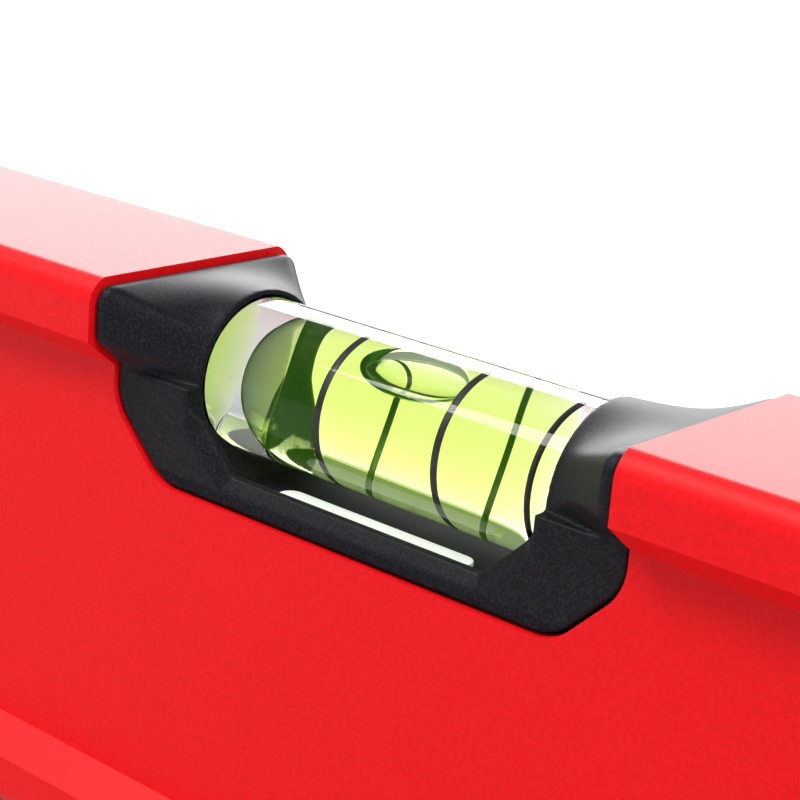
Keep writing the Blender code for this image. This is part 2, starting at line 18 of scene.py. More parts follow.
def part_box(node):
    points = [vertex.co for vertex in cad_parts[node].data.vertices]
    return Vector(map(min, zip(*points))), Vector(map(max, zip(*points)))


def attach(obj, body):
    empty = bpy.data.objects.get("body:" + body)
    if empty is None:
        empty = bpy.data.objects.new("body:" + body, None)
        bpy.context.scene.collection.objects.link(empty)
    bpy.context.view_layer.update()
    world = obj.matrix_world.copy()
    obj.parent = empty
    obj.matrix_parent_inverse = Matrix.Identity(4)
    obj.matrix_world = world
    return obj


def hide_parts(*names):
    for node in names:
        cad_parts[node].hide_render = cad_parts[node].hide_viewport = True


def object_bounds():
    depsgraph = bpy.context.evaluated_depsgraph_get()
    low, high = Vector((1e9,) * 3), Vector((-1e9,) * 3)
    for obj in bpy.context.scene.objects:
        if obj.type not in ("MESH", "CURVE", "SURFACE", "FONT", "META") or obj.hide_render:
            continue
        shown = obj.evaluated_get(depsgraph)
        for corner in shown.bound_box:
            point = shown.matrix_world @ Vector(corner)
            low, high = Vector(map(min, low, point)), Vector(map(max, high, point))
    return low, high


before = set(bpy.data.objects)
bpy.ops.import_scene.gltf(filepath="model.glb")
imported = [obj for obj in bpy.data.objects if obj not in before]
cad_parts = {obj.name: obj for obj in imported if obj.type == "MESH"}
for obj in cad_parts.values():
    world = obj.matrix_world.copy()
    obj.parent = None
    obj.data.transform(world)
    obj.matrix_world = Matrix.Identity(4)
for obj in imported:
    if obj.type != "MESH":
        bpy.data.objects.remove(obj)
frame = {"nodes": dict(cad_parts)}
CAD_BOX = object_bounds()

MM = 0.001
EPSILON = 1e-6
PARALLEL = 1e-15
Colour = tuple[float, float, float]
Point = tuple[float, float, float]
Pair = tuple[float, float]
log = logging.getLogger("spirit_level")


class Slot(Enum):
    """The finishes that the record names."""

    RED_COAT = "red_coat"
    BLACK_PLASTIC = "black_plastic"
    CLEAR_ACRYLIC = "clear_acrylic"
    GREEN_LIQUID = "green_liquid"
    BUBBLE_AIR = "bubble_air"
    BLACK_MARK = "black_mark"
    BLACK_RUBBER = "black_rubber"
    WHITE_PLASTIC = "white_plastic"


class Body(Enum):
    """The bodies that the pieces ride on."""

    LEVEL = "level_frame"
    LEVEL_BUBBLE = "level_bubble_air"
    PLUMB_LEFT_BUBBLE = "plumb_left_bubble_air"
    PLUMB_RIGHT_BUBBLE = "plumb_right_bubble_air"


class Side(Enum):
    """An end of the level, as the sign of its X."""

    LEFT = -1
    RIGHT = 1

    @property
    def label(self) -> str:
        """The side's name in lower case."""
        return self.name.lower()


class Face(Enum):
    """A broad face of the level, as the sign of its Y."""

    FRONT = -1
    BACK = 1

    @property
    def label(self) -> str:
        """The face's name in lower case."""
        return self.name.lower()


class Kind(Enum):
    """What is selected in edit mode."""

    VERTEX = (True, False, False)
    EDGE = (False, True, False)
    FACE = (False, False, True)


# --- Shader graphs ----------------------------------------------------------------------------


class Value:
    """A number socket, on which arithmetic adds Math nodes."""

    def __init__(self, graph: "Graph", socket: bpy.types.NodeSocket) -> None:
        """Wraps a socket of a graph."""
        self.graph = graph
        self.socket = socket

    def _math(self, operation: str, *terms: "Value | float") -> "Value":
        """Adds a Math node on this value and others.

        Args:
            operation: The Math node's operation.
            terms: The node's inputs in order.

        Returns:
            The node's result.
        """
        inputs = {i: term for i, term in enumerate(terms)}
        made = self.graph.node("ShaderNodeMath", {"operation": operation}, inputs)
        return Value(self.graph, made.outputs[0])

    def __add__(self, other: "Value | float") -> "Value":
        """This value plus another."""
        return self._math("ADD", self, other)

    __radd__ = __add__

    def __rsub__(self, other: float) -> "Value":
        """A number less this value."""
        return self._math("SUBTRACT", other, self)

    def __mul__(self, other: "Value | float") -> "Value":
        """This value times another."""
        return self._math("MULTIPLY", self, other)

    __rmul__ = __mul__

    def between(self, low: float, high: float) -> "Value":
        """Rises smoothly from 0 at one value to 1 at another.

        Args:
            low: Where the result starts to rise.
            high: Where it reaches 1.

        Returns:
            The share between them.
        """
        settings = {"interpolation_type": "SMOOTHSTEP"}
        inputs = {"Value": self, "From Min": low, "From Max": high}
        made = self.graph.node("ShaderNodeMapRange", settings, inputs)
        return Value(self.graph, made.outputs["Result"])


class Graph:
    """A material's nodes around one Principled shader."""

    def __init__(self, name: str) -> None:
        """Starts a material with an empty Principled shader."""
        self.material = bpy.data.materials.new(name)
        self.material.use_nodes = True
        self.tree = self.material.node_tree
        self.tree.nodes.clear()
        self.output = self.node("ShaderNodeOutputMaterial")
        self.shader = self.node("ShaderNodeBsdfPrincipled")
        self.tree.links.new(self.shader.outputs[0], self.output.inputs["Surface"])
        self._place = self.node("ShaderNodeTexCoord").outputs["Object"]

    def node(
        self, kind: str, settings: dict | None = None, inputs: dict | None = None
    ) -> bpy.types.Node:
        """Adds a node.

        Args:
            kind: The node's type.
            settings: Properties, set first.
            inputs: Values or links by socket name or number.

        Returns:
            The node.
        """
        made = self.tree.nodes.new(kind)
        for name, value in (settings or {}).items():
            setattr(made, name, value)
        for name, value in (inputs or {}).items():
            self.feed(made.inputs[name], value)
        return made

    def feed(self, socket: bpy.types.NodeSocket, value: object) -> None:
        """Links a socket to another, or sets its value.

        Args:
            socket: The input socket.
            value: A Value, an output socket, a colour or a number.
        """
        if isinstance(value, Value):
            value = value.socket
        if isinstance(value, bpy.types.NodeSocket):
            self.tree.links.new(value, socket)
        elif isinstance(value, tuple) and len(socket.default_value) > len(value):
            socket.default_value = (*value, 1.0)
        else:
            socket.default_value = value

    def dress(self, **inputs: object) -> None:
        """Feeds the Principled shader, whose socket names are written with _ for a space."""
        for name, value in inputs.items():
            self.feed(self.shader.inputs[name.replace("_", " ")], value)

    def noise(self, size: float, detail: float = 2.0) -> Value:
        """A soft random pattern.

        Args:
            size: The width of its spots in metres.
            detail: How many finer layers it has.

        Returns:
            The pattern, about 0.5 in the middle.
        """
        inputs = {"Vector": self._place, "Scale": 1 / size, "Detail": detail}
        return Value(self, self.node("ShaderNodeTexNoise", None, inputs).outputs["Fac"])

    def height(self) -> Value:
        """The object's Z coordinate in metres."""
        made = self.node("ShaderNodeSeparateXYZ", None, {"Vector": self._place})
        return Value(self, made.outputs["Z"])

    def distance(self) -> Value:
        """How far a point is from the object's origin, in metres."""
        made = self.node("ShaderNodeVectorMath", {"operation": "LENGTH"}, {0: self._place})
        return Value(self, made.outputs["Value"])

    def blend(self, share: Value, first: object, second: object) -> bpy.types.NodeSocket:
        """Mixes two colours.

        Args:
            share: 0 for the first, 1 for the second.
            first: A colour or a colour socket.
            second: A colour or a colour socket.

        Returns:
            The mixed colour.
        """
        made = self.node("ShaderNodeMix", {"data_type": "RGBA"}, {0: share, 6: first, 7: second})
        return made.outputs[2]

    def bump(self, height: Value, depth: float, strength: float = 1.0) -> bpy.types.NodeSocket:
        """Turns a height into a surface normal.

        Args:
            height: The pattern.
            depth: What a height of 1 stands for, in metres.
            strength: How much of it shows.

        Returns:
            The normal.
        """
        inputs = {"Height": height, "Distance": depth, "Strength": strength}
        return self.node("ShaderNodeBump", None, inputs).outputs[0]


# --- Finishes ---------------------------------------------------------------------------------


@dataclass(frozen=True)
class PowderCoat:
    """Red powder coat with a fine even grain."""

    name: str = "red_powder_coat"
    slot: Slot = Slot.RED_COAT
    colour: Colour = (0.94, 0.007, 0.012)
    shade: Colour = (0.82, 0.004, 0.007)
    grain: float = 0.28 * MM
    speck: float = 0.476 * MM
    speck_range: Pair = (0.36, 0.62)
    cloud: float = 18 * MM
    speck_share: float = 0.55
    depth: float = 0.016 * MM
    gloss: float = 0.16
    roughness: Pair = (0.40, 0.14)

    def material(self) -> bpy.types.Material:
        """Builds the material."""
        graph = Graph(self.name)
        grain = graph.noise(self.grain, 3.0)
        cloud = graph.noise(self.cloud, 2.0)
        speck = graph.noise(self.speck, 1.0).between(*self.speck_range)
        base, rise = self.roughness
        mottle = speck * self.speck_share + cloud * (1 - self.speck_share)
        graph.dress(
            Base_Color=graph.blend(mottle, self.shade, self.colour),
            Roughness=base + rise * grain,
            Specular_IOR_Level=self.gloss,
            Normal=graph.bump(grain, self.depth, 0.9),
        )
        return graph.material


@dataclass(frozen=True)
class MouldedPlastic:
    """Black plastic from a finely etched mould."""

    name: str = "etched_black_plastic"
    slot: Slot = Slot.BLACK_PLASTIC
    colour: Colour = (0.006, 0.006, 0.008)
    worn: Colour = (0.020, 0.020, 0.025)
    grain: float = 0.22 * MM
    grain_range: Pair = (0.40, 0.70)
    cloud: float = 6 * MM
    depth: float = 0.011 * MM
    roughness: float = 0.42
    tray_rise: float = 0.35
    gloss: float = 0.14
    tray_top: float = 42.6 * MM
    tray_fade: float = 0.4 * MM

    def material(self) -> bpy.types.Material:
        """Builds the material."""
        graph = Graph(self.name)
        grain = graph.noise(self.grain, 3.0)
        cloud = graph.noise(self.cloud, 3.0)
        matt = 1 - graph.height().between(self.tray_top - self.tray_fade, self.tray_top)
        graph.dress(
            Base_Color=graph.blend(grain.between(*self.grain_range), self.colour, self.worn),
            Roughness=self.roughness + 0.10 * cloud + 0.06 * grain + self.tray_rise * matt,
            Specular_IOR_Level=self.gloss,
            Normal=graph.bump(grain, self.depth, 0.9),
        )
        return graph.material


@dataclass(frozen=True)
class Clear:
    """A clear solid or liquid that light passes through, measured against what is round it."""

    name: str
    slot: Slot
    index: float
    tint: Colour = (1.0, 1.0, 1.0)
    soaked: Colour | None = None
    soak_density: float = 0.0
    gloss: float = 0.0
    # painted glow: emission that brightens the material though it is no lamp
    painted_glow: float = 0.0
    painted_glow_tint: Colour = (0.26, 1.0, 0.03)
    haze: float = 2.5 * MM
    haze_shade: float = 0.985

    def material(self) -> bpy.types.Material:
        """Builds the material."""
        graph = Graph(self.name)
        hazed = tuple(self.haze_shade * part for part in self.tint)
        graph.dress(
            Base_Color=graph.blend(graph.noise(self.haze, 2.0), self.tint, hazed),
            Roughness=0.0,
            IOR=self.index,
            Transmission_Weight=1.0,
        )
        if self.gloss:
            graph.dress(Coat_Weight=self.gloss, Coat_Roughness=0.02, Coat_IOR=1.5)
        # Painted glow: an emission that brightens the material, which is no lamp.
        if self.painted_glow:
            graph.dress(Emission_Color=self.painted_glow_tint, Emission_Strength=self.painted_glow)
        if self.soaked:
            inputs = {"Color": self.soaked, "Density": self.soak_density}
            depth = graph.node("ShaderNodeVolumeAbsorption", None, inputs)
            graph.tree.links.new(depth.outputs[0], graph.output.inputs["Volume"])
        return graph.material


@dataclass(frozen=True)
class RingMark:
    """The satin black of the rings that are pressed round a vial."""

    name: str = "black_ring_mark"
    slot: Slot = Slot.BLACK_MARK
    colour: Colour = (0.006, 0.007, 0.006)
    worn: Colour = (0.016, 0.018, 0.016)
    grain: float = 0.3 * MM
    depth: float = 0.006 * MM

    def material(self) -> bpy.types.Material:
        """Builds the material."""
        graph = Graph(self.name)
        grain = graph.noise(self.grain, 2.0)
        graph.dress(
            Base_Color=graph.blend(grain, self.colour, self.worn),
            Roughness=0.34 + 0.2 * grain,
            Normal=graph.bump(grain, self.depth),
        )
        return graph.material


@dataclass(frozen=True)
class Rubber:
    """Matt black rubber."""

    name: str = "black_rubber"
    slot: Slot = Slot.BLACK_RUBBER
    colour: Colour = (0.012, 0.012, 0.013)
    bloom_colour: Colour = (0.030, 0.030, 0.031)
    grain: float = 0.4 * MM
    bloom: float = 5 * MM
    bloom_range: Pair = (0.45, 0.8)
    depth: float = 0.03 * MM

    def material(self) -> bpy.types.Material:
        """Builds the material."""
        graph = Graph(self.name)
        grain = graph.noise(self.grain, 4.0)
        bloom = graph.noise(self.bloom, 3.0).between(*self.bloom_range)
        graph.dress(
            Base_Color=graph.blend(bloom, self.colour, self.bloom_colour),
            Roughness=0.66 + 0.2 * grain,
            Normal=graph.bump(grain, self.depth),
        )
        return graph.material


@dataclass(frozen=True)
class WhitePlastic:
    """Smooth white plastic, with an even painted glow that stands in for the light that reaches it
    through the vial.
    """

    name: str = "white_plastic"
    slot: Slot = Slot.WHITE_PLASTIC
    colour: Colour = (0.90, 0.91, 0.93)
    shade: Colour = (0.84, 0.85, 0.88)
    cloud: float = 1.2 * MM
    depth: float = 0.01 * MM
    # painted glow: emission that brightens the strip as though lit through the vial
    painted_glow: float = 0.22

    def material(self) -> bpy.types.Material:
        """Builds the material."""
        graph = Graph(self.name)
        cloud = graph.noise(self.cloud, 2.0)
        graph.dress(
            Base_Color=graph.blend(cloud, self.colour, self.shade),
            Roughness=0.28 + 0.15 * cloud,
            # Painted glow: the strip's emission stands in for light that reaches it through the vial; it
            # is no lamp.
            Emission_Color=self.colour,
            Emission_Strength=self.painted_glow,
            Normal=graph.bump(cloud, self.depth),
        )
        return graph.material


@dataclass(frozen=True)
class PaleFloor:
    """The plain pale floor that the level lies on, which fades into the sky far from the lamps."""

    name: str = "pale_floor"
    colour: Colour = (0.60, 0.60, 0.61)
    shade: Colour = (0.58, 0.58, 0.59)
    cloud: float = 0.4
    near_glow: Colour = (0.0, 0.0, 0.0)
    far_glow: Colour = (0.62, 0.62, 0.63)
    far_range: Pair = (0.5, 2.2)

    def material(self) -> bpy.types.Material:
        """Builds the material."""
        graph = Graph(self.name)
        cloud = graph.noise(self.cloud, 2.0)
        far = graph.distance().between(*self.far_range)
        graph.dress(
            Base_Color=graph.blend(cloud, self.colour, self.shade),
            Roughness=0.55 + 0.1 * cloud,
            Emission_Color=graph.blend(far, self.near_glow, self.far_glow),
            Emission_Strength=1.0,
        )
        return graph.material


ACRYLIC_INDEX = 1.22
LIQUID_INDEX = 1.19


@dataclass
class Finishes:
    """Every finish of the level, each built once."""

    red: PowderCoat = PowderCoat()
    plastic: MouldedPlastic = MouldedPlastic()
    acrylic: Clear = Clear(
        "clear_acrylic_tube", Slot.CLEAR_ACRYLIC, ACRYLIC_INDEX, (0.985, 1.0, 0.985), gloss=0.12
    )
    liquid: Clear = Clear(
        "yellow_green_liquid",
        Slot.GREEN_LIQUID,
        LIQUID_INDEX / ACRYLIC_INDEX,
        soaked=(0.755, 0.955, 0.02),
        soak_density=118.0,
        # painted glow that brightens the liquid
        painted_glow=0.03,
    )
    air: Clear = Clear("bubble_air", Slot.BUBBLE_AIR, 1 / LIQUID_INDEX)
    ring: RingMark = RingMark()
    rubber: Rubber = Rubber()
    white: WhitePlastic = WhitePlastic()
    built: dict[str, bpy.types.Material] = field(default_factory=dict)

    def dress(self, piece: "Piece", finish: object) -> None:
        """Gives a piece a finish.

        Args:
            piece: The piece.
            finish: One of this set's finishes.
        """
        if finish.name not in self.built:
            self.built[finish.name] = finish.material()
        piece.obj.data.materials.clear()
        piece.obj.data.materials.append(self.built[finish.name])


# --- Modelling --------------------------------------------------------------------------------


class Piece:
    """One mesh object, worked on with Blender's operators."""

    def __init__(self, obj: bpy.types.Object) -> None:
        """Takes an object."""
        self.obj = obj

    @classmethod
    def added(cls, name: str) -> "Piece":
        """Takes the primitive that was just added, and applies its place to its mesh.

        Args:
            name: The piece's name.

        Returns:
            The piece.
        """
        obj = bpy.context.active_object
        obj.name = name
        obj.data.name = name
        bpy.ops.object.transform_apply(location=True, rotation=True, scale=True)
        return cls(obj)

    @classmethod
    def box(cls, name: str, low: Point, high: Point) -> "Piece":
        """A box between two corners."""
        middle = (Vector(low) + Vector(high)) / 2
        size = Vector(high) - Vector(low)
        bpy.ops.object.select_all(action="DESELECT")
        bpy.ops.mesh.primitive_cube_add(size=1, location=middle, scale=size)
        return cls.added(name)

    @classmethod
    def rod(cls, name: str, radius: float, low: float, high: float, sides: int = 96) -> "Piece":
        """An upright cylinder between two heights on the Z axis."""
        bpy.ops.object.select_all(action="DESELECT")
        bpy.ops.mesh.primitive_cylinder_add(
            vertices=sides, radius=radius, depth=high - low, location=(0, 0, (low + high) / 2)
        )
        return cls.added(name)

    def alone(self) -> None:
        """Makes this the only selected object and the active one."""
        bpy.ops.object.select_all(action="DESELECT")
        self.obj.select_set(True)
        bpy.context.view_layer.objects.active = self.obj

    def placed(self, matrix: Matrix) -> "Piece":
        """Moves and turns the piece, and applies that to its mesh."""
        self.alone()
        self.obj.matrix_world = matrix
        bpy.ops.object.transform_apply(location=True, rotation=True, scale=True)
        return self

    def pick(self, kind: Kind, test: Callable[[Vector, Vector], bool]) -> None:
        """Selects parts of the mesh and opens it in edit mode.

        Args:
            kind: Vertices, edges or faces.
            test: Told a part's middle and its direction, says whether it is selected. The direction is a
                face's normal, an edge's line or a vertex's normal.
        """
        self.alone()
        mesh = self.obj.data
        for parts in (mesh.vertices, mesh.edges, mesh.polygons):
            parts.foreach_set("select", [False] * len(parts))
        if kind is Kind.VERTEX:
            for vertex in mesh.vertices:
                vertex.select = test(vertex.co, vertex.normal)
        elif kind is Kind.EDGE:
            for edge in mesh.edges:
                first, last = (mesh.vertices[number].co for number in edge.vertices)
                edge.select = test((first + last) / 2, (last - first).normalized())
        else:
            for polygon in mesh.polygons:
                polygon.select = test(polygon.center, polygon.normal)
        bpy.context.tool_settings.mesh_select_mode = kind.value
        bpy.ops.object.mode_set(mode="EDIT")

    def done(self) -> "Piece":
        """Leaves edit mode."""
        bpy.ops.object.mode_set(mode="OBJECT")
        return self

    def scored(self, point: Point, normal: Point, chop: bool = False) -> "Piece":
        """Cuts the mesh along a plane.

        Args:
            point: A point of the plane.
            normal: Its normal.
            chop: Whether the side that the normal points to is cut away and the cut filled.

        Returns:
            The piece.
        """
        self.pick(Kind.FACE, lambda middle, line: True)
        bpy.ops.mesh.bisect(plane_co=point, plane_no=normal, use_fill=chop, clear_outer=chop)
        return self.done()

    def rounded(self, test: Callable[[Vector, Vector], bool], radius: float, steps: int = 6) -> "Piece":
        """Bevels chosen edges in edit mode.

        Args:
            test: Told an edge's middle and line, says whether it is bevelled.
            radius: The bevel's width.
            steps: Its segments, where 1 is a flat chamfer.

        Returns:
            The piece.
        """
        self.pick(Kind.EDGE, test)
        bpy.ops.mesh.bevel(offset=radius, segments=steps, profile=0.5)
        return self.done()

    def sunk(self, test: Callable[[Vector, Vector], bool], inset: float, depth: float) -> "Piece":
        """Insets chosen faces and moves them along their normals.

        Args:
            test: Told a face's middle and normal, says whether it is inset.
            inset: The width of the rim that is left.
            depth: How far the face moves out, or in if negative.

        Returns:
            The piece.
        """
        self.pick(Kind.FACE, test)
        bpy.ops.mesh.inset(thickness=inset, depth=depth, use_even_offset=True)
        return self.done()

    def modified(self, kind: str, **settings: object) -> "Piece":
        """Adds a modifier and applies it.

        Args:
            kind: The modifier's type.
            settings: Its properties.

        Returns:
            The piece.
        """
        step = self.obj.modifiers.new(kind.lower(), kind)
        for name, value in settings.items():
            setattr(step, name, value)
        self.alone()
        bpy.ops.object.modifier_apply(modifier=step.name)
        return self

    def combined(self, others: Sequence["Piece"], operation: str) -> "Piece":
        """Joins other pieces to this one or cuts them from it, and removes them.

        Args:
            others: The other pieces.
            operation: UNION or DIFFERENCE.

        Returns:
            The piece.
        """
        for other in others:
            self.modified("BOOLEAN", operation=operation, object=other.obj, solver="MANIFOLD")
            bpy.data.objects.remove(other.obj, do_unlink=True)
        return self

    def softened(self, width: float, steps: int = 3, angle: float = 35.0) -> "Piece":
        """Rounds every edge that is sharper than an angle, and evens the shading.

        Args:
            width: The bevel's width.
            steps: Its segments.
            angle: The angle in degrees.

        Returns:
            The piece.
        """
        self.modified(
            "BEVEL",
            width=width,
            segments=steps,
            limit_method="ANGLE",
            angle_limit=math.radians(angle),
            miter_outer="MITER_ARC",
        )
        return self.shaded()

    def shaded(self, angle: float = 40.0) -> "Piece":
        """Shades the piece smooth up to an angle, with its broad faces kept flat."""
        self.alone()
        bpy.ops.object.shade_smooth_by_angle(angle=math.radians(angle))
        return self.modified("WEIGHTED_NORMAL", keep_sharp=True, weight=50)

    def cast(self, cell: float, passes: int, keep: float = 1.0) -> "Piece":
        """Turns a cut-up solid into one skin with soft moulded edges.

        Args:
            cell: The size of the skin's faces before they are thinned.
            passes: How often the skin is evened out.
            keep: The share of the faces that stay.

        Returns:
            The piece.
        """
        self.modified("REMESH", mode="VOXEL", voxel_size=cell)
        self.modified("SMOOTH", factor=0.5, iterations=passes)
        if keep < 1:
            self.modified("DECIMATE", ratio=keep)
        self.alone()
        bpy.ops.object.shade_smooth()
        return self

    def turned_out(self) -> "Piece":
        """Merges doubled vertices and points every face outwards."""
        self.pick(Kind.FACE, lambda middle, line: True)
        bpy.ops.mesh.remove_doubles(threshold=EPSILON)
        bpy.ops.mesh.normals_make_consistent(inside=False)
        return self.done()

    def stands_for(self, body: Body, *nodes: str) -> "Piece":
        """Hangs the piece on a body in place of CAD nodes, and reports it.

        Args:
            body: The body that it moves with.
            nodes: The CAD nodes that it replaces.

        Returns:
            The piece.
        """
        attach(self.obj, body.value)
        if nodes:
            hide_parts(*nodes)
        log.info("%s: %d faces on %s", self.obj.name, len(self.obj.data.polygons), body.value)
        return self


# --- The rail's section -----------------------------------------------------------------------


@dataclass(frozen=True)
class RailSection:
    """The section of the frame: a rail along the top and the base, and a web set back between them."""

    width: float
    height: float
    crease_inset: float = 1.9 * MM
    corner_drop: float = 2.6 * MM
    corner_steps: int = 10
    face_end: float = 6.2 * MM
    web_inset: float = 3.45 * MM
    web_start: float = 8.9 * MM
    wall: float = 1.5 * MM

    def corner(self, inset: float) -> list[Pair]:
        """The rail's rounded corner from the top crease to the upright face.

        Args:
            inset: How far inside the surface the line runs.

        Returns:
            Half widths and depths below the top face.
        """
        radius = (self.crease_inset**2 + self.corner_drop**2) / (2 * self.crease_inset)
        start = math.asin(self.corner_drop / radius)
        reach = radius - inset
        points = []
        for step in range(self.corner_steps + 1):
            angle = start * (1 - step / self.corner_steps)
            drop = self.corner_drop - reach * math.sin(angle)
            points.append((self.width / 2 - radius + reach * math.cos(angle), max(drop, inset)))
        return points

    def upper_half(self, inset: float) -> list[Pair]:
        """The section from the top crease down to the web, as half widths and heights."""
        face = self.width / 2 - inset
        web = face - self.web_inset
        slope = math.atan2(self.web_start - self.face_end, self.web_inset)
        shift = inset * math.tan((math.pi / 2 - slope) / 2)
        line = [*self.corner(inset), (face, self.face_end - shift), (web, self.web_start - shift)]
        return [(half, self.height - drop) for half, drop in line]

    def solid(self, name: str, inset: float, start: float, end: float) -> Piece:
        """A length of the whole section, as a solid.

        Args:
            name: The piece's name.
            inset: How far inside the section's surface it stays.
            start: Its lower X.
            end: Its higher X.

        Returns:
            The piece.
        """
        upper = self.upper_half(inset)
        rows = upper + [(half, self.height - z) for half, z in reversed(upper)]
        wide = self.width / 2
        top = rows[0][1]
        piece = Piece.box(name, (start, -wide, self.height - top), (end, wide, top))
        for _, height in rows[1:-1]:
            piece.scored((0, 0, height), (0, 0, 1))
        for half, height in rows:
            piece.pick(Kind.VERTEX, lambda spot, line, z=height: abs(spot.z - z) < EPSILON)
            bpy.ops.transform.resize(value=(1, half / wide, 1), center_override=(0, 0, 0))
            piece.done()
        return piece

    @staticmethod
    def reach(outline: Sequence[Pair], centre_z: float, angle: float) -> float:
        """How far a ray from a point on the middle plane runs before it meets an outline.

        Args:
            outline: A closed line of Y and Z.
            centre_z: The height that the ray starts at.
            angle: Its direction above +Y.

        Returns:
            The distance.
        """
        way = Vector((math.cos(angle), math.sin(angle)))
        nearest = math.inf
        for (y1, z1), (y2, z2) in zip(outline, [*outline[1:], outline[0]]):
            start = Vector((y1, z1 - centre_z))
            along = Vector((y2 - y1, z2 - z1))
            cross = way.x * along.y - way.y * along.x
            if abs(cross) < PARALLEL:
                continue
            distance = (start.x * along.y - start.y * along.x) / cross
            share = (start.x * way.y - start.y * way.x) / cross
            if distance > 0 and -EPSILON <= share <= 1 + EPSILON:
                nearest = min(nearest, distance)
        return nearest


# --- Sub-assemblies ---------------------------------------------------------------------------


@dataclass
class Frame:
    """The hollow coated extrusion with its three cut-outs."""

    section: RailSection
    finishes: Finishes
    pocket_half: float = 30.2 * MM
    pocket_floor: float = 40.8 * MM
    pocket_shoulder: float = 47.4 * MM
    pocket_corner: float = 2.0 * MM
    hole_half_x: float = 16.0 * MM
    hole_half_z: float = 18.5 * MM
    hole_chamfer: float = 6.5 * MM
    edge: float = 0.42 * MM

    def pocket(self) -> Piece:
        """The tool that cuts the level housing's pocket."""
        deep = self.section.width
        top = self.section.height + deep / 2
        low = (-self.pocket_half, -deep, self.pocket_floor)
        tool = Piece.box("pocket_tool", low, (self.pocket_half, deep, top))
        for side in Side:
            tool.scored(
                (side.value * self.pocket_half, 0, self.pocket_shoulder), (side.value, 0, -1), chop=True
            )
        return tool.rounded(
            lambda middle, line: abs(line.y) > 0.9 and middle.z < self.section.height,
            self.pocket_corner,
        )

    def hole(self, centre: Vector) -> Piece:
        """The tool that cuts a plumb housing's hole."""
        reach = Vector((self.hole_half_x, self.section.width, self.hole_half_z))
        tool = Piece.box("hole_tool", centre - reach, centre + reach)
        return tool.rounded(lambda middle, line: abs(line.y) > 0.9, self.hole_chamfer, 1)

    def build(self, plumb_centres: Sequence[Vector]) -> Piece:
        """Models and dresses the frame.

        Args:
            plumb_centres: The middles of the two plumb vials.

        Returns:
            The frame.
        """
        low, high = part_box("frame_profile")
        piece = self.section.solid("coated_frame", 0.0, low.x, high.x)
        piece.pick(Kind.FACE, lambda middle, normal: abs(normal.x) > 0.9)
        bpy.ops.mesh.delete(type="FACE")
        piece.done()
        piece.modified("SOLIDIFY", thickness=self.section.wall, offset=-1, use_even_offset=True)
        piece.combined([self.pocket(), *map(self.hole, plumb_centres)], "DIFFERENCE")
        piece.softened(self.edge)
        self.finishes.dress(piece, self.finishes.red)
        return piece.stands_for(Body.LEVEL, "frame_profile")


